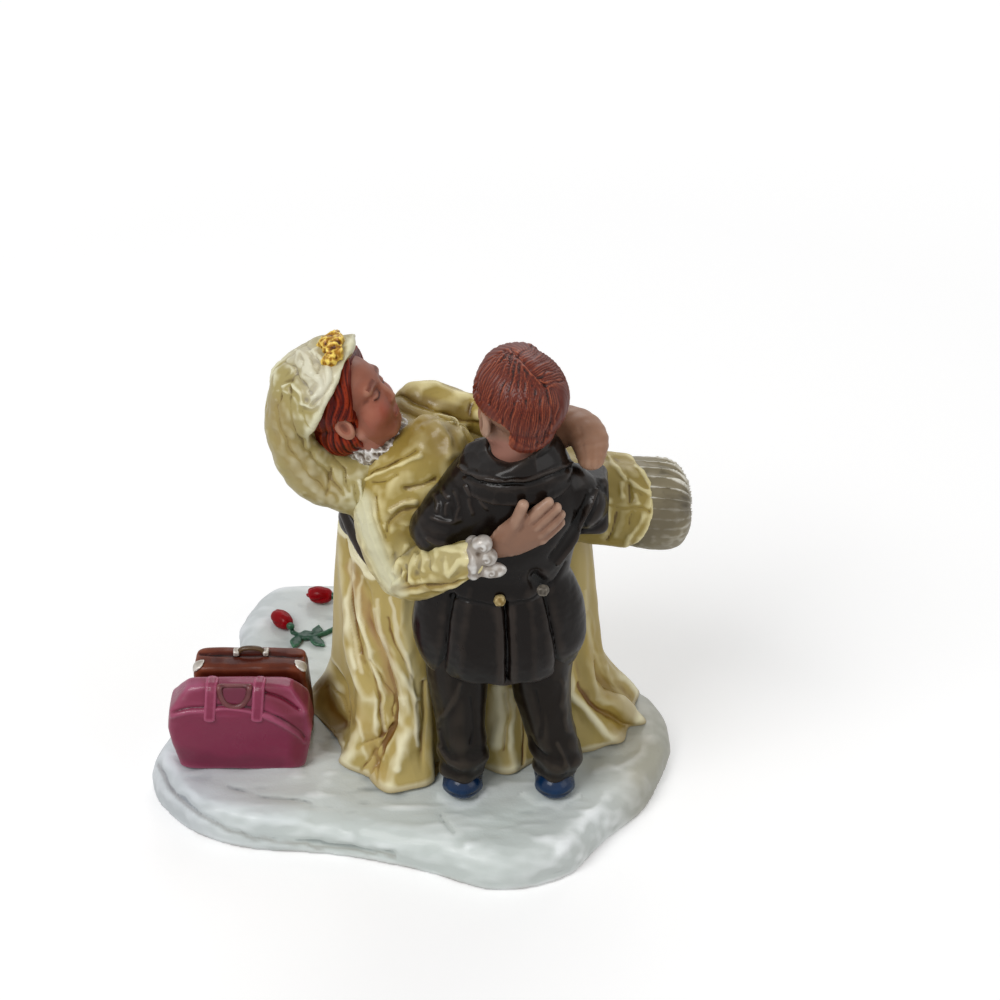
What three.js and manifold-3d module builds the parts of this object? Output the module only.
// Wedding couple figurine: a groom in a tailcoat carries the bride over a snow-covered base,
// with their luggage and two dropped roses beside them.
//
// Millimetres. +Z is up, +X is the groom's right hand side, and the groom's back is towards -Y.
// The origin is on the flat underside of the base. Heights of everything that stands on the snow
// are measured from the top of the snow.

import * as THREE from "three";
import { mergeVertices } from "three/addons/utils/BufferGeometryUtils.js";
import Module from "manifold-3d";

const wasm = await Module();
wasm.setup();

// Base.
const BASE_LENGTH = 67.4;
const BASE_WIDTH = 58.3;
const BASE_THICKNESS = 5;
const BASE_EDGE_ROUND = 3.2;
const CLEARANCE = 0.3;

// Groom.
const SHOE_LENGTH = 9.6;
const SHOE_WIDTH = 5.6;
const SHOE_HEIGHT = 3.1;
const TROUSER_TOP = 22.5;
const TROUSER_WIDTH = 6.6;
const COAT_HEM = 19;
const COAT_WAIST = 33;
const COAT_SHOULDER = 47;
const COAT_NECK = 51.8;
const COAT_WIDTH = 17;
const COAT_DEPTH = 11.2;
const COAT_FLARE = 1.25;
const COAT_SLEEVE_RADIUS = 3.8;
const PRESSED_RADIUS = 3.1;
const CUFF_RADIUS = 2.6;
const VENT_WIDTH = 0.8;
const PLEAT_WIDTH = 1.4;
const BUTTON_SIZE = 1.5;
const GROOM_NECK_RADIUS = 2.8;
const GROOM_HEAD_HEIGHT = 12.5;
const HAIR_THICKNESS = 0.9;

// Bride.
const BRIDE_HEAD_HEIGHT = 12.8;
const BRIDE_NECK_RADIUS = 2.3;
const VEIL_THICKNESS = 1.3;
const SLEEVE_RADIUS = 4.8;
const HAND_LENGTH = 10;
const BODY_RADIUS = 5.4;
const SKIRT_RADIUS = 6.2;
const PETTICOAT_RADIUS = 5.9;
const TRAIN_HEIGHT = 34.5;
const TRAIN_FAR_FOLDS = 6;
const TRAIN_FOLD_DEPTH = 1;

// Luggage and roses.
const BAG_WIDTH = 18.4;
const BAG_DEPTH = 5.8;
const BAG_HEIGHT = 12.5;
const STRAP_WIDTH = 1.5;
const SUITCASE_WIDTH = 14.6;
const SUITCASE_DEPTH = 5;
const SUITCASE_HEIGHT = 11.9;
const HANDLE_SPAN = 4;
const ROSE_LENGTH = 3.8;
const ROSE_RADIUS = 1.35;
const STEM_RADIUS = 0.36;

// The plane of the groom's back, which the bride's near hand lies on.
const COAT_BACK = -15 - COAT_DEPTH / 2;

// Joints of the groom.
const GROOM_NECK = [13, -15.8, COAT_NECK];
const GROOM_HEAD = [13.3, -16.2, COAT_NECK + GROOM_HEAD_HEIGHT * 0.42];
const GROOM_TURN = 25;
const LEFT_SHOULDER = [7.2, -15.5, COAT_SHOULDER - 1.4];
const LEFT_ELBOW = [5.3, -16.3, COAT_SHOULDER - 5.6];
const LEFT_WRIST = [-6.2, -3.4, COAT_SHOULDER - 14.4];
const RIGHT_SHOULDER = [19.2, -15.4, COAT_SHOULDER - 1.2];
const RIGHT_ELBOW = [21.1, -14.6, COAT_SHOULDER - 4.6];
const RIGHT_WRIST = [22, -6.5, COAT_SHOULDER - 10.8];
const LEFT_HEEL = [7, -19.9, 0];
const RIGHT_HEEL = [18.2, -19.9, 0];

// Joints of the bride.
const BRIDE_HEAD = [-5.9, -7.6, 52.4];
const BRIDE_TURN = -110;
const BRIDE_LEAN = 32;
const BRIDE_NECK = [-3.2, -6.2, 45.4];
const NEAR_SHOULDER = [3.6, -9.4, 46];
const NEAR_ELBOW = [-0.2, -14, 32.6];
const NEAR_WRIST = [8.2, COAT_BACK - 1.6, 40.3];
const FAR_SHOULDER = [1.4, -1.4, 47.4];
const FAR_ELBOW = [8.6, -1.4, 46.4];
const FAR_WRIST = [16.8, -7.6, 50.2];
const HIPS = [13, -2, 37.4];
const KNEES = [22.4, -4, 36.2];

function paint(color, roughness, metalness = 0) {
  return new THREE.MeshStandardMaterial({ color, roughness, metalness });
}

const MATERIALS = {
  snow: paint(0xe8edf2, 0.45),
  coat: paint(0x2a2420, 0.3),
  trousers: paint(0x302a26, 0.35),
  button: paint(0xa8863a, 0.35),
  shirt: paint(0xe9e2d6, 0.5),
  skin: paint(0xd49e82, 0.4),
  groom_hair: paint(0x8a3d28, 0.45),
  bride_hair: paint(0x8c2410, 0.45),
  shoe: paint(0x123c78, 0.3),
  gown: paint(0xe9dca2, 0.4),
  veil: paint(0xe8e6bd, 0.4),
  petticoat: paint(0xcfcbb4, 0.45),
  lace: paint(0xcfc8c0, 0.3, 0.3),
  gold: paint(0xd8a52a, 0.3, 0.3),
  bag: paint(0x9a3762, 0.3),
  bag_handle: paint(0x7c3a40, 0.35),
  suitcase: paint(0x7a3d24, 0.3),
  fittings: paint(0xb9aaa0, 0.3, 0.4),
  rose: paint(0xb80d22, 0.25),
  leaf: paint(0x1f4f3a, 0.4),
};

// A closed mesh as a solid that can be joined and cut.
function solid(geometry) {
  const bare = geometry.clone();
  bare.deleteAttribute("normal");
  bare.deleteAttribute("uv");
  const merged = mergeVertices(bare, 1e-4);
  return new wasm.Manifold(
    new wasm.Mesh({
      numProp: 3,
      vertProperties: merged.attributes.position.array,
      triVerts: new Uint32Array(merged.index.array),
    }),
  );
}

function geometryOf(shape) {
  const mesh = shape.getMesh();
  const geometry = new THREE.BufferGeometry();
  geometry.setAttribute("position", new THREE.BufferAttribute(mesh.vertProperties, 3));
  geometry.setIndex(new THREE.BufferAttribute(mesh.triVerts, 1));
  geometry.computeVertexNormals();
  return geometry;
}

function joined(shapes) {
  return shapes.reduce((whole, shape) => whole.add(shape));
}

// The main body of a cut piece, without crumbs that a cut left loose.
function largest(shape) {
  const bodies = shape.decompose();
  return bodies.reduce((best, body) => (body.volume() > best.volume() ? body : best));
}

// A closed body through rings of equally many points, with flat ends. Rings run bottom to top, or
// start to end, and their points run anticlockwise when seen from the end.
function loft(rings) {
  const count = rings[0].length;
  const positions = rings.flat().flatMap((point) => point.toArray());
  const faces = [];
  for (let level = 0; level + 1 < rings.length; level += 1) {
    for (let i = 0; i < count; i += 1) {
      const a = level * count + i;
      const b = level * count + ((i + 1) % count);
      faces.push(a, b, b + count, a, b + count, a + count);
    }
  }
  [rings[0], rings[rings.length - 1]].forEach((ring, end) => {
    const middle = ring.reduce((sum, point) => sum.add(point), new THREE.Vector3());
    const hub = positions.length / 3;
    positions.push(...middle.divideScalar(count).toArray());
    const first = end * (rings.length - 1) * count;
    for (let i = 0; i < count; i += 1) {
      const a = first + i;
      const b = first + ((i + 1) % count);
      faces.push(hub, end ? a : b, end ? b : a);
    }
  });
  const geometry = new THREE.BufferGeometry();
  geometry.setAttribute("position", new THREE.Float32BufferAttribute(positions, 3));
  geometry.setIndex(faces);
  return solid(geometry);
}

// Distance from the middle to the edge at an angle, for a shape between an ellipse (2) and a box.
function squareness(power) {
  return (angle) => {
    const across = Math.abs(Math.cos(angle)) ** power;
    const deep = Math.abs(Math.sin(angle)) ** power;
    return (across + deep) ** (-1 / power);
  };
}

// Folds of cloth around a form, each a share of its half width deep.
function folds(count, depth) {
  return (angle, share) => 1 + depth * Math.cos(count * angle + 2 * share);
}

// A body from level sections [height, x, y, half width, half depth], bottom to top.
function stack(sections, { sides = 20, outline = () => 1, grow = 0 } = {}) {
  const top = sections.length - 1;
  const rings = sections.map(([z, x, y, width, depth], level) => {
    const end = level === 0 ? -grow : level === top ? grow : 0;
    return Array.from({ length: sides }, (_, i) => {
      const angle = (2 * Math.PI * i) / sides;
      const reach = outline(angle, level / top);
      const across = (width * reach + grow) * Math.cos(angle);
      const deep = (depth * reach + grow) * Math.sin(angle);
      return new THREE.Vector3(x + across, y + deep, z + end);
    });
  });
  return loft(rings);
}

// Shares of the half width, and of the reach beyond the end, that round off the end of a limb.
const ROUND = [[0.85, 0.3], [0.5, 0.6]];
const BEVEL = [[0.6, 0.5]];

// A body along stations [place, half width, half height] that a smooth curve joins, with rounded
// ends. "side" is the direction of the width.
function limb(stations, options = {}) {
  const { side = [0, 1, 0], sides = 12, outline = () => 1 } = options;
  const { grow = 0, steps = 3, ends = ROUND } = options;
  const curve = new THREE.CatmullRomCurve3(stations.map(([at]) => new THREE.Vector3(...at)));
  const across = new THREE.Vector3(...side);
  const spans = stations.length - 1;
  const ring = (share, shrink, shift) => {
    const low = Math.min(Math.floor(share * spans), spans - 1);
    const part = share * spans - low;
    const wide = THREE.MathUtils.lerp(stations[low][1], stations[low + 1][1], part);
    const high = THREE.MathUtils.lerp(stations[low][2], stations[low + 1][2], part);
    const along = curve.getTangent(share);
    const u = across.clone().addScaledVector(along, -across.dot(along)).normalize();
    const v = along.clone().cross(u);
    const outward = shift * Math.min(wide, high) + Math.sign(shift) * grow;
    const middle = curve.getPoint(share).addScaledVector(along, outward);
    return Array.from({ length: sides }, (_, i) => {
      const angle = (2 * Math.PI * i) / sides;
      const reach = outline(angle, share);
      return middle
        .clone()
        .addScaledVector(u, (wide * reach + grow) * shrink * Math.cos(angle))
        .addScaledVector(v, (high * reach + grow) * shrink * Math.sin(angle));
    });
  };
  const count = spans * steps;
  const middles = Array.from({ length: count + 1 }, (_, i) => ring(i / count, 1, 0));
  const end = ends.map(([shrink, shift]) => ring(1, shrink, shift));
  const start = ends.map(([shrink, shift]) => ring(0, shrink, -shift)).reverse();
  return loft([...start, ...middles, ...end]);
}

function ball(centre, radii, grow = 0, [across, down] = [10, 7]) {
  const geometry = new THREE.SphereGeometry(1, across, down);
  geometry.scale(...radii.map((radius) => radius + grow));
  geometry.translate(...centre);
  return solid(geometry);
}

function block(centre, size, grow = 0) {
  const geometry = new THREE.BoxGeometry(...size.map((length) => length + 2 * grow));
  geometry.translate(...centre);
  return solid(geometry);
}

function between(a, b, share) {
  return a.map((value, i) => value + (b[i] - value) * share);
}

function moved(point, shift) {
  return point.map((value, i) => value + shift[i]);
}

// Places a form that was made around the origin: leant back about its own X, then turned about Z.
function placed(shape, at, turn, lean = 0) {
  const angles = [lean, 0, turn].map(THREE.MathUtils.degToRad);
  const matrix = new THREE.Matrix4().makeRotationFromEuler(new THREE.Euler(...angles, "ZXY"));
  return shape.transform(matrix.setPosition(...at).elements);
}

// Snow base: a flat-bottomed slab with an irregular shore and a rounded edge. The shore is given in
// shares of the length and the width.
const SHORE = [
  [-0.5045, -0.1715], [-0.4377, -0.3173], [-0.3116, -0.3911], [-0.1335, -0.4168],
  [0.0297, -0.4683], [0.1617, -0.5249], [0.2893, -0.4837], [0.3561, -0.3808], [0.4481, -0.2607],
  [0.4955, -0.0772], [0.4674, 0.1372], [0.3561, 0.2916], [0.1335, 0.3945], [-0.0445, 0.422],
  [-0.178, 0.47], [-0.3086, 0.4563], [-0.365, 0.3259], [-0.3709, 0.1887], [-0.4362, 0.0429],
].map(([x, y]) => [x * BASE_LENGTH, y * BASE_WIDTH]);

function snowBase() {
  const shore = new THREE.CatmullRomCurve3(SHORE.map(([x, y]) => new THREE.Vector3(x, y, 0)), true);
  const around = 54;
  const levels = [[0, 0.3], [0.3, 0], [0.68, 0.15], [0.9, 0.5], [1, 1]];
  const rings = levels.map(([height, inset]) =>
    Array.from({ length: around }, (_, i) => {
      const point = shore.getPoint(i / around);
      const along = shore.getTangent(i / around);
      const inward = new THREE.Vector3(-along.y, along.x, 0);
      return point.addScaledVector(inward, inset * BASE_EDGE_ROUND).setZ(height * BASE_THICKNESS);
    }),
  );
  return loft(rings);
}

// Groom.
function shoe([x, y, z], grow) {
  const middle = y + SHOE_LENGTH / 2;
  const half = SHOE_WIDTH / 2;
  const sections = [
    [z, x, middle, half * 0.88, SHOE_LENGTH / 2],
    [z + SHOE_HEIGHT * 0.4, x, middle, half, SHOE_LENGTH / 2],
    [z + SHOE_HEIGHT * 0.75, x, middle - SHOE_LENGTH * 0.06, half * 0.95, SHOE_LENGTH * 0.42],
    [z + SHOE_HEIGHT, x, middle - SHOE_LENGTH * 0.2, half * 0.8, SHOE_LENGTH * 0.26],
  ];
  return stack(sections, { sides: 16, outline: squareness(2.4), grow });
}

function trouserLeg([x, y], hip, grow) {
  const ankle = y + 3.9;
  const hem = SHOE_HEIGHT - 0.5;
  const rise = TROUSER_TOP - hem;
  const half = TROUSER_WIDTH / 2;
  const sections = [
    [hem, x + 0.2, ankle, half * 0.92, half],
    [hem + rise * 0.12, x + 0.2, ankle + 0.1, half * 0.98, half * 1.03],
    [hem + rise * 0.4, (x + hip) / 2, ankle + 0.4, half * 0.92, half],
    [hem + rise * 0.75, hip, ankle + 0.8, half * 1.14, half * 1.12],
    [TROUSER_TOP, hip, ankle + 0.8, half * 1.2, half * 1.15],
  ];
  return stack(sections, { sides: 16, outline: folds(5, 0.03), grow });
}

// Pleats in the back of the skirt: [share of its height, x, share of the half depth inwards].
const COAT_PLEATS = [
  [[-0.05, 4, 0.14], [0.3, 4.6, 0.03], [0.7, 5.1, 0.02], [0.98, 5.6, 0.14]],
  [[-0.05, 18.6, 0.14], [0.3, 18, 0.03], [0.7, 17.4, 0.02], [0.98, 16.8, 0.14]],
];

function tailcoat(grow) {
  const tails = COAT_WAIST - COAT_HEM;
  const chest = COAT_SHOULDER - COAT_WAIST;
  const neck = COAT_NECK - COAT_SHOULDER;
  const sections = [
    [COAT_HEM, 11.5, -14.7, COAT_FLARE * 0.82, COAT_FLARE * 0.74],
    [COAT_HEM + tails * 0.1, 11.4, -14.8, COAT_FLARE * 0.92, COAT_FLARE * 0.83],
    [COAT_HEM + tails * 0.38, 11.1, -14.9, COAT_FLARE, COAT_FLARE * 0.88],
    [COAT_HEM + tails * 0.66, 11, -14.9, COAT_FLARE * 0.97, COAT_FLARE * 0.86],
    [COAT_HEM + tails * 0.94, 11.2, -15, 1.02, 0.98],
    [COAT_WAIST + chest * 0.1, 11.4, -15, 0.96, 0.94],
    [COAT_WAIST + chest * 0.5, 12.1, -15.2, 0.99, 1],
    [COAT_WAIST + chest * 0.84, 12.7, -15.4, 1.02, 1.01],
    [COAT_SHOULDER, 12.9, -15.5, 0.98, 0.93],
    [COAT_SHOULDER + neck * 0.5, 13, -15.6, 0.8, 0.8],
    [COAT_SHOULDER + neck * 0.8, 13, -15.7, 0.55, 0.68],
    [COAT_NECK, 13, -15.8, 0.42, 0.6],
  ].map(([z, x, y, width, depth]) => [z, x, y, (width * COAT_WIDTH) / 2, (depth * COAT_DEPTH) / 2]);
  const whole = stack(sections, { sides: 20, outline: squareness(2.3), grow });
  if (grow > 0) return whole;
  const slit = tails * 0.9;
  const vent = [13, sections[2][2] - sections[2][4], COAT_HEM + slit / 2 - 1];
  const pleats = COAT_PLEATS.map((line) => {
    const stations = line.map(([share, x, depth]) => {
      const z = COAT_HEM + tails * share;
      return [[x, COAT_BACK + depth * (COAT_DEPTH / 2), z], PLEAT_WIDTH / 2, PLEAT_WIDTH / 2];
    });
    return limb(stations, { side: [1, 0, 0], sides: 6, steps: 1, ends: BEVEL });
  });
  return whole.subtract(joined([block(vent, [VENT_WIDTH, 2, slit]), ...pleats]));
}

function coatCollar(grow) {
  const neck = COAT_NECK - COAT_SHOULDER;
  const [x, y] = GROOM_NECK;
  const half = COAT_WIDTH / 2;
  const deep = COAT_DEPTH / 2;
  const sections = [
    [COAT_SHOULDER - neck * 0.05, x, y, half * 0.78, deep * 1.08],
    [COAT_SHOULDER + neck * 0.25, x, y, half * 0.86, deep * 1.06],
    [COAT_SHOULDER + neck * 0.65, x, y, half * 0.74, deep * 0.93],
    [COAT_NECK + neck * 0.26, x, y, half * 0.5, deep * 0.74],
  ];
  const ring = stack(sections, { sides: 20, grow });
  if (grow > 0) return ring;
  const opening = [x, y + deep, COAT_SHOULDER + neck * 0.6];
  return ring.subtract(block(opening, [GROOM_NECK_RADIUS * 2, COAT_DEPTH, neck * 3]));
}

function shirtCollar(grow) {
  const [x, y, z] = GROOM_NECK;
  const sections = [
    [z + CLEARANCE, x, y, GROOM_NECK_RADIUS + 0.8, GROOM_NECK_RADIUS + 0.7],
    [z + 1.4, x, y, GROOM_NECK_RADIUS + 0.7, GROOM_NECK_RADIUS + 0.6],
  ];
  return stack(sections, { sides: 16, grow });
}

function shirtFront(grow) {
  const front = -15.4 + COAT_DEPTH * 0.2;
  const sections = [
    [COAT_WAIST + 5, 12, front, 1.2, COAT_DEPTH * 0.36],
    [COAT_SHOULDER - 2.5, 12.8, front, 2.4, COAT_DEPTH * 0.37],
    [COAT_SHOULDER + 2.2, 13, front - 0.3, 2.2, COAT_DEPTH * 0.29],
  ];
  return stack(sections, { sides: 12, grow });
}

function bowTie(grow) {
  const [x, y, z] = GROOM_NECK;
  const at = [x, y + 0.2 + COAT_DEPTH * 0.366, z - 1.4];
  const loops = [-1.3, 1.3].map((shift) => ball(moved(at, [shift, 0, 0]), [1.3, 0.8, 1], grow, [8, 6]));
  return joined([ball(at, [0.7, 0.9, 0.7], grow, [8, 5]), ...loops]);
}

// Cloth-covered buttons at the waist, in shallow bores of the coat.
const BUTTONS = {
  left: [11.5, COAT_WAIST - 0.3],
  right: [16.4, COAT_WAIST + 1.5],
};

function coatButton([x, z], grow) {
  const radius = BUTTON_SIZE / 2 + grow;
  const geometry = new THREE.CylinderGeometry(radius, radius, 2 + grow, 10);
  geometry.translate(x, COAT_BACK + 0.6, z);
  return solid(geometry);
}

function groomSleeve(shoulder, elbow, wrist, radius, grow) {
  const passing = [between(elbow, wrist, 0.25)[0], elbow[1] + 5.6, between(elbow, wrist, 0.3)[2]];
  const stations = [
    [shoulder, radius * 0.86, radius * 0.92],
    [between(shoulder, elbow, 0.5), radius * 0.98, radius * 1.05],
    [elbow, radius * 0.92, radius * 0.92],
    [passing, radius * 0.8, radius * 0.8],
    [between(passing, wrist, 0.6), radius * 0.72, radius * 0.78],
    [wrist, CUFF_RADIUS, CUFF_RADIUS * 1.1],
  ];
  return limb(stations, { side: [0.5, 1, 0.2], sides: 12, outline: folds(5, 0.03), grow, steps: 2 });
}

// Head around the origin, facing +Y: skull and jaw and, unless plain, nose and ears.
function head(height, grow, plain = false) {
  const unit = height / 13;
  const sections = [
    [-6.5, 0, 2.9, 1.3, 1.4],
    [-5.2, 0, 1.7, 2.9, 3.4],
    [-3, 0, 0.8, 3.9, 4.6],
    [-0.4, 0, 0.1, 4.4, 5.3],
    [2.4, 0, -0.3, 4.6, 5.6],
    [4.6, 0, -0.4, 3.9, 4.9],
    [6, 0, -0.3, 2.6, 3.3],
    [6.5, 0, -0.2, 1.2, 1.5],
  ].map((section) => section.map((value) => value * unit));
  const skull = stack(sections, { sides: 14, grow });
  if (plain) return skull;
  const nose = [0.6, 0.9, 1.2].map((value) => value * unit);
  const ear = [0.6, 1, 1.5].map((value) => value * unit);
  return joined([
    skull,
    ball([0, 5.4 * unit, -1.2 * unit], nose, grow, [8, 6]),
    ball([-4.4 * unit, -0.6 * unit, -unit], ear, grow, [8, 6]),
    ball([4.4 * unit, -0.6 * unit, -unit], ear, grow, [8, 6]),
  ]);
}

function neckOf(from, to, radius, grow) {
  return limb([[from, radius, radius], [to, radius, radius]], { side: [1, 0, 0], grow, steps: 1 });
}

function groomHead(grow) {
  const skull = placed(head(GROOM_HEAD_HEIGHT, grow), GROOM_HEAD, GROOM_TURN);
  const from = moved(GROOM_NECK, [0, 0, GROOM_NECK_RADIUS * 0.6 + 0.6]);
  return skull.add(neckOf(from, moved(GROOM_HEAD, [0, 0, -3]), GROOM_NECK_RADIUS, grow));
}

// Cuts a head-shaped shell off in front of a slanting plane. "forward" is where the plane crosses
// the middle of the head, and "rise" is how steeply it climbs forwards.
function behindHairline(shape, forward, rise) {
  const reach = 40;
  const cutter = new THREE.BoxGeometry(reach, reach, reach);
  cutter.translate(0, reach / 2, 0);
  cutter.rotateX(-Math.atan(rise));
  cutter.translate(0, forward, 0);
  return shape.subtract(solid(cutter));
}

function groomHair(grow) {
  const cap = head(GROOM_HEAD_HEIGHT, HAIR_THICKNESS + grow, true);
  return placed(behindHairline(cap, grow - 0.4, 0.75), GROOM_HEAD, GROOM_TURN);
}

// A hand around the origin: wrist at the origin, fingers along +X, its back towards +Z, and the
// thumb on the +Y side (1) or the -Y side (-1). The fingers bend down by "curl".
function hand(thumb, curl, grow) {
  const unit = HAND_LENGTH / 8;
  const wrist = [[-0.6, 0, 0], 1.3, 0.9];
  const stations = [wrist, [[2, 0, 0], 1.9, 0.95], [[4, 0, 0], 1.9, 0.75]];
  const scaled = (list) =>
    list.map(([at, wide, high]) => [at.map((value) => value * unit), wide * unit, high * unit]);
  const reaches = thumb > 0 ? [3, 3.7, 3.8, 3.3] : [3.3, 3.8, 3.7, 3];
  const fingers = [-1.38, -0.46, 0.46, 1.38].map((y, i) => [
    [[3.6, y, 0], 0.55, 0.55],
    [[4 + reaches[i] * 0.5, y * 1.05, -curl * 0.3], 0.52, 0.5],
    [[4 + reaches[i], y * 1.1, -curl], 0.42, 0.42],
  ]);
  fingers.push([
    [[0.8, thumb * 0.9, 0], 0.62, 0.62],
    [[2, thumb * 2.4, 0], 0.56, 0.56],
    [[3.6, thumb * 3.2, -curl * 0.4], 0.45, 0.45],
  ]);
  const palm = limb(scaled(stations), { sides: 10, grow, steps: 1, ends: BEVEL });
  const digits = fingers.map((one) => limb(scaled(one), { sides: 5, grow, steps: 1, ends: BEVEL }));
  return joined([palm, ...digits]);
}

// Sets a hand with its wrist at a place, its fingers along one direction and its back along another.
function handAt(shape, at, fingers, back) {
  const x = new THREE.Vector3(...fingers).normalize();
  const z = new THREE.Vector3(...back);
  z.addScaledVector(x, -z.dot(x)).normalize();
  const y = z.clone().cross(x);
  return shape.transform(new THREE.Matrix4().makeBasis(x, y, z).setPosition(...at).elements);
}

function handOnBack(grow) {
  return handAt(hand(1, 0.9, grow), moved(NEAR_WRIST, [2, 0.4, 0.2]), [1, 0.04, 0.72], [0.1, -1, 0]);
}

function handUnderBack(grow) {
  const at = moved(LEFT_WRIST, [-0.4, 3, 1.6]);
  return handAt(hand(-1, 1.6, grow), at, [0.5, 0.75, 0.6], [-0.7, 0.6, 0]);
}

function handUnderKnees(grow) {
  return handAt(hand(-1, 1.8, grow), moved(KNEES, [2.8, 4.6, -8]), [-0.25, 0.3, 1], [0, 1, -0.2]);
}

// Bride.
function brideHead(grow) {
  const skull = placed(head(BRIDE_HEAD_HEIGHT, grow), BRIDE_HEAD, BRIDE_TURN, BRIDE_LEAN);
  const throat = moved(BRIDE_HEAD, [1.8, -0.6, -4.1]);
  return skull.add(neckOf(throat, BRIDE_NECK, BRIDE_NECK_RADIUS, grow));
}

function brideHair(grow) {
  const cap = head(BRIDE_HEAD_HEIGHT, HAIR_THICKNESS + grow, true);
  const nape = ball([0, -3.8, -3.2], [3.4, 2.8, 2.8], grow);
  const shape = behindHairline(cap, 2 + grow, 0.43).add(nape);
  return placed(shape, BRIDE_HEAD, BRIDE_TURN, BRIDE_LEAN);
}

function veil(grow) {
  const cap = head(BRIDE_HEAD_HEIGHT, HAIR_THICKNESS + VEIL_THICKNESS + grow, true);
  const crown = ball([0, 0.4, 6], [3.6, 4, 2.4], grow);
  const hood = behindHairline(cap.add(crown), grow - 4.9, 1.04);
  const reach = VEIL_THICKNESS * 2.7;
  const fall = limb([
    [moved(BRIDE_HEAD, [-4, 0.8, 5.2]), reach * 1.1, reach * 0.6],
    [moved(BRIDE_HEAD, [-6.5, 0.6, 2.2]), reach * 1.3, reach * 0.76],
    [moved(BRIDE_HEAD, [-7.6, 0.4, -1.8]), reach * 1.4, reach * 0.84],
    [moved(BRIDE_HEAD, [-6.7, 0.2, -6]), reach * 1.4, reach],
    [moved(BRIDE_HEAD, [-4.4, -0.4, -9.2]), reach * 1.25, reach * 1.1],
    [moved(BRIDE_HEAD, [-0.8, -1.4, -10.6]), reach * 1.1, reach * 1.06],
  ], { sides: 14, outline: folds(7, 0.06), grow, steps: 2 });
  const tail = limb([
    [moved(BRIDE_HEAD, [0.6, -3, -9.8]), reach * 0.7, reach * 0.4],
    [moved(BRIDE_HEAD, [1.6, -5.6, -15.8]), reach * 0.6, reach * 0.34],
    [moved(BRIDE_HEAD, [3.6, -8, -21.8]), reach * 0.4, reach * 0.22],
  ], { side: [1, 0.5, 0], sides: 8, grow, steps: 1, ends: BEVEL });
  return joined([placed(hood, BRIDE_HEAD, BRIDE_TURN, BRIDE_LEAN), fall, tail]);
}

function veilFlowers(grow) {
  const blooms = [[0.6, 0.8, 8.9], [1.8, 2.2, 8.6], [2.4, -0.4, 8.2], [3.5, 1.4, 7.3]];
  const shape = joined(blooms.map((at) => ball(at, [1.5, 1.5, 1.3], grow, [8, 6])));
  return placed(shape, BRIDE_HEAD, BRIDE_TURN, BRIDE_LEAN);
}

function laceCollar(grow) {
  const reach = BRIDE_NECK_RADIUS + 1;
  return limb([
    [moved(BRIDE_NECK, [-0.8, -0.4, 1.4]), reach, reach],
    [moved(BRIDE_NECK, [0.4, -0.2, 0]), reach + 0.8, reach + 0.8],
  ], { sides: 16, outline: folds(8, 0.05), grow, steps: 1 });
}

function bodice(grow) {
  return limb([
    [moved(BRIDE_NECK, [2.6, 0.8, -1]), BODY_RADIUS * 0.98, BODY_RADIUS * 0.8],
    [between(BRIDE_NECK, HIPS, 0.48), BODY_RADIUS, BODY_RADIUS * 0.86],
    [between(BRIDE_NECK, HIPS, 0.75), BODY_RADIUS * 0.88, BODY_RADIUS * 0.8],
    [HIPS, BODY_RADIUS * 1.05, BODY_RADIUS],
  ], { sides: 16, outline: folds(7, 0.02), grow, steps: 2 });
}

function sleeve(shoulder, elbow, wrist, radius, sag, grow) {
  return limb([
    [shoulder, radius, radius],
    [moved(between(shoulder, elbow, 0.5), [-sag, 0, 0]), radius * 0.96, radius * 0.9],
    [elbow, radius * 0.76, radius * 0.76],
    [moved(between(elbow, wrist, 0.45), [0, -sag * 0.3, -sag * 0.1]), radius * 0.58, radius * 0.58],
    [wrist, radius * 0.44, radius * 0.44],
  ], { side: [1, 0, 0.3], sides: 12, outline: folds(6, 0.04), grow, steps: 2 });
}

function sleeveNear(grow) {
  return sleeve(NEAR_SHOULDER, NEAR_ELBOW, NEAR_WRIST, SLEEVE_RADIUS, 3.4, grow);
}

function sleeveFar(grow) {
  return sleeve(FAR_SHOULDER, FAR_ELBOW, FAR_WRIST, SLEEVE_RADIUS * 0.62, 0, grow);
}

function handOnShoulder(grow) {
  return limb([
    [moved(FAR_WRIST, [1, -0.9, 0.5]), 1.9, 1.5],
    [moved(FAR_WRIST, [3.4, -3.6, 1.5]), 2.7, 1.8],
    [moved(FAR_WRIST, [4.8, -6.2, 0.8]), 2.4, 1.8],
    [moved(FAR_WRIST, [5, -8, -0.8]), 1.7, 1.3],
  ], { side: [1, 0, -0.4], grow, steps: 2 });
}

function wristCorsage(grow) {
  const blooms = [[1.5, -1, 1.5], [0.7, -1.3, -0.3], [2.2, -1, -1.5]];
  const parts = blooms.map((shift) => ball(moved(NEAR_WRIST, shift), [1.4, 1.2, 1.3], grow, [8, 5]));
  const reach = SLEEVE_RADIUS * 0.44;
  parts.push(ball(moved(NEAR_WRIST, [1, 0, 0.1]), [1.1, reach + 0.3, reach + 0.4], grow, [8, 6]));
  return joined(parts);
}

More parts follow.
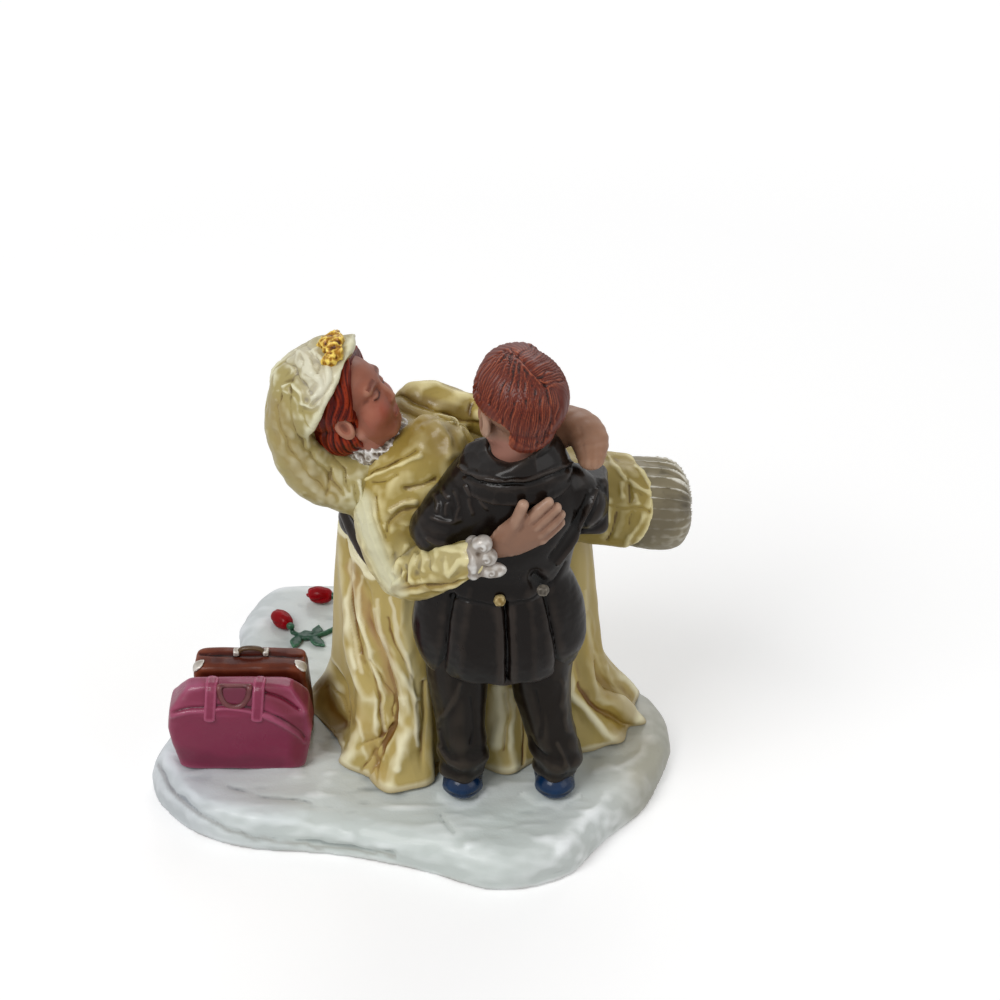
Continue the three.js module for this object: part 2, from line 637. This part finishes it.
// The hem is cut aslant, so that it reaches furthest on the near side.
function skirt(grow) {
  const whole = limb([
    [HIPS, SKIRT_RADIUS * 1.08, SKIRT_RADIUS],
    [between(HIPS, KNEES, 0.55), SKIRT_RADIUS * 1.02, SKIRT_RADIUS * 0.94],
    [KNEES, SKIRT_RADIUS * 0.94, SKIRT_RADIUS * 0.9],
    [moved(KNEES, [9, -0.2, -1.2]), SKIRT_RADIUS * 0.97, SKIRT_RADIUS * 0.94],
  ], { sides: 18, outline: folds(9, 0.025), grow, steps: 2, ends: BEVEL });
  const reach = 20;
  const beyond = new THREE.BoxGeometry(reach, 2 * reach, 2 * reach);
  beyond.translate(reach / 2 + grow, 0, 0);
  const normal = new THREE.Vector3(1, 0.52, -0.37).normalize();
  beyond.applyQuaternion(new THREE.Quaternion().setFromUnitVectors(new THREE.Vector3(1, 0, 0), normal));
  beyond.translate(...moved(KNEES, [4, -0.1, -0.4]));
  return whole.subtract(solid(beyond));
}

function petticoat(grow) {
  return limb([
    [moved(KNEES, [0.4, 0, -0.1]), PETTICOAT_RADIUS * 0.8, PETTICOAT_RADIUS * 0.8],
    [moved(KNEES, [6, -0.1, -0.7]), PETTICOAT_RADIUS * 0.94, PETTICOAT_RADIUS * 0.94],
    [moved(KNEES, [9, -0.2, -1.2]), PETTICOAT_RADIUS, PETTICOAT_RADIUS * 0.96],
  ], { sides: 26, outline: folds(13, 0.035), grow, steps: 1 });
}

// Train: plan outlines at rising shares of its height. Each starts beside the groom's left shoe,
// runs past his legs and round the right hand flare, and comes back along the far side.
const TRAIN_LEVELS = [
  [0, [[1.6, -17], [3.6, -11.8], [12.6, -14], [17, -11], [24, -9.6], [30, -3.4], [27, 5],
    [17, 9.4], [5, 10.8], [-6, 9], [-13.2, 0], [-9.4, -9.6], [-5.8, -16.2]]],
  [0.09, [[1.6, -15.4], [3.8, -11.4], [12.6, -12.6], [17, -10.4], [23.4, -8.8], [28, -3], [25.4, 5],
    [16.4, 9], [5, 10.3], [-5.4, 8.6], [-12, 0], [-8.9, -8.4], [-5, -14.4]]],
  [0.26, [[1.2, -13], [4, -10.4], [12.6, -11.2], [17, -9.4], [21.8, -8.2], [24.4, -2.6], [22.4, 5],
    [15, 8.6], [5, 9.6], [-4.4, 8], [-10.2, 0.4], [-8.4, -6.4], [-4.2, -12]]],
  [0.58, [[0.8, -11.6], [4, -9.6], [12.4, -9.4], [17, -8.6], [21, -7.8], [23.2, -2.2], [20.6, 5],
    [13.6, 8], [5, 8.8], [-3.6, 7.4], [-9.6, 0.8], [-8, -5], [-4, -10.2]]],
  [0.84, [[0.2, -9.8], [4, -8.8], [12, -8.6], [17, -8.2], [21, -7], [22.6, -1.8], [19.6, 4.6],
    [13, 6.8], [5, 7.2], [-2.8, 6.2], [-9.2, 1], [-7.4, -4], [-3.6, -8.6]]],
  [1, [[0.6, -8.4], [4, -8], [12, -8], [17, -7.8], [20.4, -6.2], [20.4, -2.6], [17.4, 1.4],
    [12.6, 2.6], [5, 2.8], [-1.6, 2.6], [-8.2, 1], [-8, -4], [-4.2, -8.6]]],
];
// How far the top of the train rises above its height, point by point.
const TRAIN_SWEEP = [0, 0, 0, 0, 0, 1, 4, 6, 6.5, 4.4, -3, -5, -7];

// Folds of the train that show: [half width, [rise, place, height] from the bottom up]. A place
// counts along the points of a plan outline, and a negative height is a hollow.
const TRAIN_RIDGES = [
  [0.26, [[0, 11.25, 1.3], [0.09, 11.55, 1.2], [0.17, 11.72, 1.1], [0.3, 11.66, 1],
    [0.38, 11.3, 0.9], [0.45, 11.1, 0.8], [0.61, 11.03, 0.7], [0.84, 10.6, 0.5], [1, 10.5, 0.3]]],
  [0.2, [[0.4, 11.62, 0], [0.46, 11.42, -0.7], [0.6, 11.26, -0.8], [0.8, 10.95, -0.6],
    [1, 10.95, -0.3]]],
  [0.2, [[0.3, 12.2, 0], [0.43, 11.98, 0.7], [0.52, 11.85, 0.8], [0.59, 11.58, 0.8],
    [0.67, 11.3, 0.7], [0.79, 11.2, 0.6], [1, 11.4, 0.3]]],
  [0.26, [[0, 11.85, -0.9], [0.13, 12.12, -1], [0.22, 12.3, -1], [0.34, 12.25, -1],
    [0.42, 12.18, -0.9], [0.52, 12.1, -0.8], [0.64, 11.75, -0.8], [0.83, 11.55, -0.6],
    [1, 11.55, -0.3]]],
  [0.26, [[0, 12.45, 1.1], [0.1, 12.48, 1.1], [0.22, 12.76, 1.1], [0.31, 12.75, 1],
    [0.43, 12.65, 0.9], [0.53, 12.45, 0.9], [0.64, 12.08, 0.8], [0.83, 11.9, 0.6], [1, 11.8, 0.3]]],
  [0.18, [[0.42, 12.95, 0], [0.54, 12.8, 0.6], [0.65, 12.6, 0.6], [0.77, 12.7, 0.5], [1, 12.7, 0.2]]],
  [0.34, [[0, 10.75, -0.2], [0.05, 10.75, -1.4], [0.1, 10.75, -2.8], [0.17, 10.7, -2.8],
    [0.26, 10.6, 0]]],
  [0.22, [[0, 10.05, 1.2], [0.05, 10.05, 1.5], [0.1, 10.1, 1.3], [0.17, 10.15, 0.6],
    [0.25, 10.2, 0.2], [0.6, 10.2, 0.3], [1, 10.2, 0]]],
  [0.2, [[0, 5, 1.1], [0.1, 4.7, 1], [0.2, 4.32, 1], [0.33, 4.2, 0.9], [0.44, 4.2, 0.6],
    [0.7, 4.2, 0.3], [1, 4.2, 0]]],
  [0.2, [[0, 4.44, 1], [0.08, 4.22, 1], [0.18, 3.95, 0.9], [0.28, 3.62, 0.8], [0.5, 3.5, 0.4],
    [1, 3.5, 0]]],
  [0.24, [[0, 5.65, 1], [0.05, 5.55, 1], [0.2, 5.08, 0.9], [0.35, 4.7, 0.7], [0.65, 4.65, 0.4],
    [1, 4.65, 0]]],
  [0.16, [[0, 5.32, -1.2], [0.1, 5.1, -1], [0.2, 4.7, -0.8], [0.3, 4.45, -0.5], [0.5, 4.4, 0]]],
  [0.16, [[0, 4.72, -1], [0.08, 4.46, -0.9], [0.17, 4.14, -0.7], [0.28, 3.9, -0.5], [0.5, 3.8, 0]]],
  [0.22, [[0, 1.95, 0.8], [0.17, 1.9, 0.7], [0.36, 1.85, 0.5], [0.6, 1.85, 0]]],
  [0.2, [[0, 2.9, 0.7], [0.3, 2.9, 0.5], [0.6, 2.9, 0]]],
  [0.2, [[0, 0.35, 0.6], [0.3, 0.35, 0.4], [0.6, 0.35, 0]]],
];

// The far side falls in even folds, which sway a little from each other.
function farFolds() {
  const [from, to] = [5.95, 9.85];
  const pitch = (to - from) / TRAIN_FAR_FOLDS;
  return Array.from({ length: TRAIN_FAR_FOLDS }, (_, i) => {
    const line = [0, 0.2, 0.45, 0.7, 1].map((rise) => {
      const sway = 0.14 * Math.sin(2.1 * i + 4 * rise);
      return [rise, from + (i + 0.5) * pitch + sway, 1.2 - 0.9 * rise];
    });
    return [pitch * 0.32, line];
  });
}

function foldHeight(folds, place, rise, around) {
  return folds.reduce((height, [width, line]) => {
    const next = line.findIndex(([level]) => level >= rise);
    if (next < 0 || (next === 0 && line[0][0] > rise)) return height;
    const [a, b] = [line[Math.max(next - 1, 0)], line[next]];
    const part = b[0] > a[0] ? (rise - a[0]) / (b[0] - a[0]) : 0;
    const [, middle, reach] = between(a, b, part);
    const apart = Math.abs(place - middle);
    const distance = Math.min(apart, around - apart) / width;
    return height + reach * Math.exp(-(distance ** 2));
  }, 0);
}

// The plan outline at any rise, between the two levels next to it.
function trainPlan(rise) {
  const next = Math.max(TRAIN_LEVELS.findIndex(([level]) => level >= rise), 1);
  const [[low, below], [high, above]] = [TRAIN_LEVELS[next - 1], TRAIN_LEVELS[next]];
  const lift = Math.max(0, rise - 0.5) * 2;
  const points = below.map((point, i) => {
    const [x, y] = between(point, above[i], (rise - low) / (high - low));
    return new THREE.Vector3(x, y, rise * TRAIN_HEIGHT + lift * TRAIN_SWEEP[i]);
  });
  return new THREE.CatmullRomCurve3(points, true, "catmullrom");
}

function gownTrain(grow) {
  const places = TRAIN_SWEEP.length;
  const around = places * 7;
  const all = [...TRAIN_RIDGES, ...farFolds()];
  const rises = [0, 0.05, 0.1, 0.17, 0.26, 0.36, 0.46, 0.58, 0.71, 0.84, 1];
  const rings = rises.map((rise) => {
    const outline = trainPlan(rise);
    const top = rise === 1 ? grow : 0;
    return Array.from({ length: around }, (_, i) => {
      const share = i / around;
      const along = outline.getTangent(share);
      const outward = new THREE.Vector3(along.y, -along.x, 0).normalize();
      const fold = TRAIN_FOLD_DEPTH * foldHeight(all, share * places, rise, places);
      const point = outline.getPoint(share).addScaledVector(outward, fold + grow);
      return point.setZ(point.z + top);
    });
  });
  return loft(rings);
}

// Luggage.
const BAG = [-21.8, -10.7, 0];
const SUITCASE = [BAG[0] + 1.4, BAG[1] + (BAG_DEPTH + SUITCASE_DEPTH) / 2 + CLEARANCE, 0];
const STRAPS = { left: -3.4, right: 2.6 };

function carpetBag(grow) {
  const [x, y, z] = BAG;
  const sections = [
    [0, 0.87, 0.92],
    [0.45, 1, 1],
    [0.74, 0.97, 0.96],
    [0.9, 0.78, 0.62],
    [1, 0.58, 0.3],
  ].map(([height, width, depth]) => {
    return [z + height * BAG_HEIGHT, x, y, (width * BAG_WIDTH) / 2, (depth * BAG_DEPTH) / 2];
  });
  return stack(sections, { sides: 28, outline: squareness(6), grow });
}

// A band over the front slope of the bag, from its ridge down to the front panel.
function bagStrap(shift, grow) {
  const [x, y, z] = BAG;
  const half = STRAP_WIDTH / 2;
  return limb([
    [[x + shift, y + 0.4, z + BAG_HEIGHT + 0.3], half, 0.5],
    [[x + shift, y - BAG_DEPTH * 0.2, z + BAG_HEIGHT], half, 0.5],
    [[x + shift, y - BAG_DEPTH * 0.36, z + BAG_HEIGHT * 0.87], half, 0.5],
    [[x + shift, y - BAG_DEPTH * 0.5, z + BAG_HEIGHT * 0.7], half, 0.45],
  ], { side: [1, 0, 0], sides: 8, outline: squareness(4), grow, steps: 1 });
}

function bagHandle(grow) {
  const [x, y, z] = BAG;
  const middle = x + (STRAPS.left + STRAPS.right) / 2;
  const stations = Array.from({ length: 7 }, (_, i) => {
    const angle = (Math.PI * i) / 6;
    const down = 1.7 * Math.sin(angle);
    const depth = BAG_DEPTH * (0.3 + 0.07 * down);
    return [[middle - 1.5 * Math.cos(angle), y - depth, z + BAG_HEIGHT - down], 0.38, 0.38];
  });
  return limb(stations, { sides: 6, grow, steps: 1 });
}

function suitcase(grow) {
  const [x, y, z] = SUITCASE;
  const half = SUITCASE_WIDTH / 2;
  const deep = SUITCASE_DEPTH / 2;
  const sections = [
    [z, x, y, half * 0.97, deep * 0.94],
    [z + SUITCASE_HEIGHT * 0.06, x, y, half, deep],
    [z + SUITCASE_HEIGHT * 0.88, x - 0.4, y, half * 0.98, deep],
    [z + SUITCASE_HEIGHT * 0.96, x - 0.4, y, half * 0.95, deep * 0.94],
    [z + SUITCASE_HEIGHT, x - 0.4, y, half * 0.9, deep * 0.8],
  ];
  return stack(sections, { sides: 24, outline: squareness(7), grow });
}

// The handle runs between two mounts on the lid, set back from the middle.
function handleMount(side, grow) {
  const [x, y, z] = SUITCASE;
  const at = [x - 0.3 + (side * HANDLE_SPAN) / 2, y + 0.5, z + SUITCASE_HEIGHT + 0.5];
  return block(at, [0.9, 1.3, 0.9], grow);
}

function suitcaseHandle(grow) {
  const [x, y, z] = SUITCASE;
  const reach = HANDLE_SPAN / 2 - 0.3;
  const top = z + SUITCASE_HEIGHT;
  const at = (shift, rise) => [x - 0.3 + shift, y + 0.5, top + rise];
  const stations = [at(-reach, 0.7), at(-reach * 0.6, 1.2), at(reach * 0.6, 1.2), at(reach, 0.7)];
  return limb(stations.map((place) => [place, 0.42, 0.34]), { sides: 6, grow, steps: 1 });
}

// A thin cap over one front corner of the lid.
function suitcaseCorner(side, grow) {
  const [x, y, z] = SUITCASE;
  const reach = 3.2;
  const at = [x - 0.4 + (side * SUITCASE_WIDTH) / 2, y - SUITCASE_DEPTH / 2, z + SUITCASE_HEIGHT];
  const shell = suitcase(CLEARANCE + 0.35 + grow);
  return shell.intersect(block(at, [reach, reach, reach], grow));
}

// Roses: each lies on the snow with its bloom at one end of a curved stem.
const ROSES = {
  near: {
    bloom: [-18.9, 16.4],
    heading: 132,
    stem: [[-17.3, 14.6], [-15.6, 13.3], [-13.4, 14], [-10.8, 15.9]],
    leaves: [0.25, 0.5],
  },
  far: {
    bloom: [-14, 22],
    heading: 172,
    stem: [[-11.6, 21.6], [-10, 21], [-8.2, 20.6], [-6.4, 19.4]],
    leaves: [0.3, 0.65],
  },
};

function roseBloom({ bloom, heading }) {
  const profile = [
    [0, -0.5], [0.45, -0.46], [0.85, -0.2], [1, 0.12], [0.8, 0.4], [0.4, 0.5], [0, 0.44],
  ].map(([radius, height]) => new THREE.Vector2(radius * ROSE_RADIUS, height * ROSE_LENGTH));
  const geometry = new THREE.LatheGeometry(profile, 10);
  geometry.rotateZ(-Math.PI / 2);
  geometry.rotateZ(THREE.MathUtils.degToRad(heading));
  geometry.translate(...bloom, ROSE_RADIUS);
  return solid(geometry);
}

function roseStem({ stem, leaves }) {
  const height = STEM_RADIUS;
  const curve = new THREE.CatmullRomCurve3(stem.map(([x, y]) => new THREE.Vector3(x, y, height)));
  const stations = stem.map(([x, y]) => [[x, y, height], STEM_RADIUS, STEM_RADIUS]);
  const parts = [limb(stations, { side: [0, 0, 1], sides: 5, steps: 1, ends: BEVEL })];
  leaves.forEach((share) => {
    const along = curve.getTangent(share);
    [-1, 1].forEach((side) => {
      const out = new THREE.Vector3(-along.y * side, along.x * side, 0).addScaledVector(along, 0.7);
      const root = curve.getPoint(share);
      const tip = root.clone().addScaledVector(out.normalize(), 2.6);
      const middle = root.clone().lerp(tip, 0.5);
      const blade = [
        [root.toArray(), 0.3, STEM_RADIUS * 0.8],
        [middle.toArray(), 0.75, STEM_RADIUS],
        [tip.toArray(), 0.2, STEM_RADIUS * 0.6],
      ];
      parts.push(limb(blade, { side: [-out.y, out.x, 0], sides: 4, steps: 1, ends: BEVEL }));
    });
  });
  return joined(parts);
}

// Each piece: its form, its paint, and the neighbours that it gives way to with the clearance.
const PIECES = {
  shoe_left: [(grow) => shoe(LEFT_HEEL, grow), "shoe", []],
  shoe_right: [(grow) => shoe(RIGHT_HEEL, grow), "shoe", []],
  trouser_leg_left: [(grow) => trouserLeg(LEFT_HEEL, 6.6, grow), "trousers", ["shoe_left"]],
  trouser_leg_right: [
    (grow) => trouserLeg(RIGHT_HEEL, 16.4, grow),
    "trousers",
    ["shoe_right", "trouser_leg_left"],
  ],
  tailcoat: [
    tailcoat,
    "coat",
    ["trouser_leg_left", "trouser_leg_right", "shirt_front", "coat_button_left",
      "coat_button_right", "groom_head"],
  ],
  coat_collar: [
    coatCollar,
    "coat",
    ["tailcoat", "groom_head", "shirt_collar", "shirt_front", "bow_tie"],
  ],
  coat_button_left: [(grow) => coatButton(BUTTONS.left, grow), "button", []],
  coat_button_right: [(grow) => coatButton(BUTTONS.right, grow), "button", []],
  coat_sleeve_left: [
    (grow) => groomSleeve(LEFT_SHOULDER, LEFT_ELBOW, LEFT_WRIST, COAT_SLEEVE_RADIUS, grow),
    "coat",
    ["tailcoat", "coat_collar"],
  ],
  coat_sleeve_right: [
    (grow) => groomSleeve(RIGHT_SHOULDER, RIGHT_ELBOW, RIGHT_WRIST, PRESSED_RADIUS, grow),
    "coat",
    ["tailcoat", "coat_collar"],
  ],
  shirt_front: [shirtFront, "shirt", ["groom_head"]],
  shirt_collar: [shirtCollar, "shirt", ["groom_head"]],
  bow_tie: [bowTie, "coat", ["shirt_front", "tailcoat", "shirt_collar", "groom_head"]],
  groom_head: [groomHead, "skin", []],
  groom_hair: [groomHair, "groom_hair", ["groom_head", "coat_collar", "shirt_collar"]],
  groom_hand_left: [
    handUnderBack,
    "skin",
    ["coat_sleeve_left", "bodice", "veil"],
  ],
  groom_hand_right: [handUnderKnees, "skin", ["skirt", "gown_train", "bodice", "petticoat"]],
  bride_head: [brideHead, "skin", []],
  bride_hair: [brideHair, "bride_hair", ["bride_head"]],
  veil: [
    veil,
    "veil",
    ["bride_head", "bride_hair", "coat_sleeve_left", "sleeve_near", "bodice", "lace_collar"],
  ],
  veil_flowers: [veilFlowers, "gold", ["veil", "bride_hair", "bride_head"]],
  lace_collar: [laceCollar, "lace", ["bride_head", "bride_hair"]],
  bodice: [
    bodice,
    "gown",
    ["bride_head", "lace_collar", "sleeve_near", "tailcoat", "coat_sleeve_left", "coat_collar"],
  ],
  sleeve_near: [
    sleeveNear,
    "gown",
    ["tailcoat", "coat_sleeve_left", "lace_collar", "bride_head", "coat_collar"],
  ],
  sleeve_far: [
    sleeveFar,
    "gown",
    ["bodice", "lace_collar", "bride_head", "tailcoat", "coat_collar", "bow_tie", "groom_head",
      "sleeve_near"],
  ],
  bride_hand_near: [
    handOnBack,
    "skin",
    ["tailcoat", "coat_collar", "wrist_corsage", "sleeve_near"],
  ],
  bride_hand_far: [
    handOnShoulder,
    "skin",
    ["tailcoat", "coat_collar", "coat_sleeve_right", "sleeve_far", "groom_hair"],
  ],
  wrist_corsage: [wristCorsage, "lace", ["sleeve_near", "tailcoat", "coat_sleeve_left"]],
  skirt: [skirt, "gown", ["tailcoat", "bodice", "coat_sleeve_right"]],
  petticoat: [petticoat, "petticoat", ["skirt"]],
  gown_train: [
    gownTrain,
    "gown",
    ["tailcoat", "trouser_leg_left", "trouser_leg_right", "shoe_left", "shoe_right", "bodice",
      "skirt", "coat_sleeve_left", "coat_sleeve_right", "groom_hand_left", "sleeve_near", "veil",
      "suitcase", "carpet_bag"],
  ],
  carpet_bag: [carpetBag, "bag", []],
  bag_strap_left: [(grow) => bagStrap(STRAPS.left, grow), "bag", ["carpet_bag"]],
  bag_strap_right: [(grow) => bagStrap(STRAPS.right, grow), "bag", ["carpet_bag"]],
  bag_handle: [bagHandle, "bag_handle", ["carpet_bag", "bag_strap_left", "bag_strap_right"]],
  suitcase: [suitcase, "suitcase", ["bag_strap_left", "bag_strap_right"]],
  suitcase_handle: [
    suitcaseHandle,
    "bag_handle",
    ["suitcase", "handle_mount_left", "handle_mount_right"],
  ],
  handle_mount_left: [(grow) => handleMount(-1, grow), "fittings", ["suitcase"]],
  handle_mount_right: [(grow) => handleMount(1, grow), "fittings", ["suitcase"]],
  suitcase_corner_left: [
    (grow) => suitcaseCorner(-1, grow),
    "fittings",
    ["suitcase", "carpet_bag"],
  ],
  suitcase_corner_right: [
    (grow) => suitcaseCorner(1, grow),
    "fittings",
    ["suitcase", "carpet_bag"],
  ],
  rose_bloom_near: [() => roseBloom(ROSES.near), "rose", []],
  rose_bloom_far: [() => roseBloom(ROSES.far), "rose", []],
  rose_stem_near: [() => roseStem(ROSES.near), "leaf", []],
  rose_stem_far: [() => roseStem(ROSES.far), "leaf", []],
};

function piece(name) {
  const [form, material, givesWayTo] = PIECES[name];
  const cutters = givesWayTo.map((other) => PIECES[other][0](CLEARANCE));
  const shape = cutters.length > 0 ? form(0).subtract(joined(cutters)) : form(0);
  const mesh = new THREE.Mesh(geometryOf(largest(shape)), MATERIALS[material]);
  mesh.name = name;
  return mesh;
}

const figurine = new THREE.Group();
const base = new THREE.Mesh(geometryOf(snowBase()), MATERIALS.snow);
base.name = "snow_base";
figurine.add(base);

const onSnow = new THREE.Group();
onSnow.position.z = BASE_THICKNESS;
Object.keys(PIECES).forEach((name) => onSnow.add(piece(name)));
figurine.add(onSnow);

export default figurine;
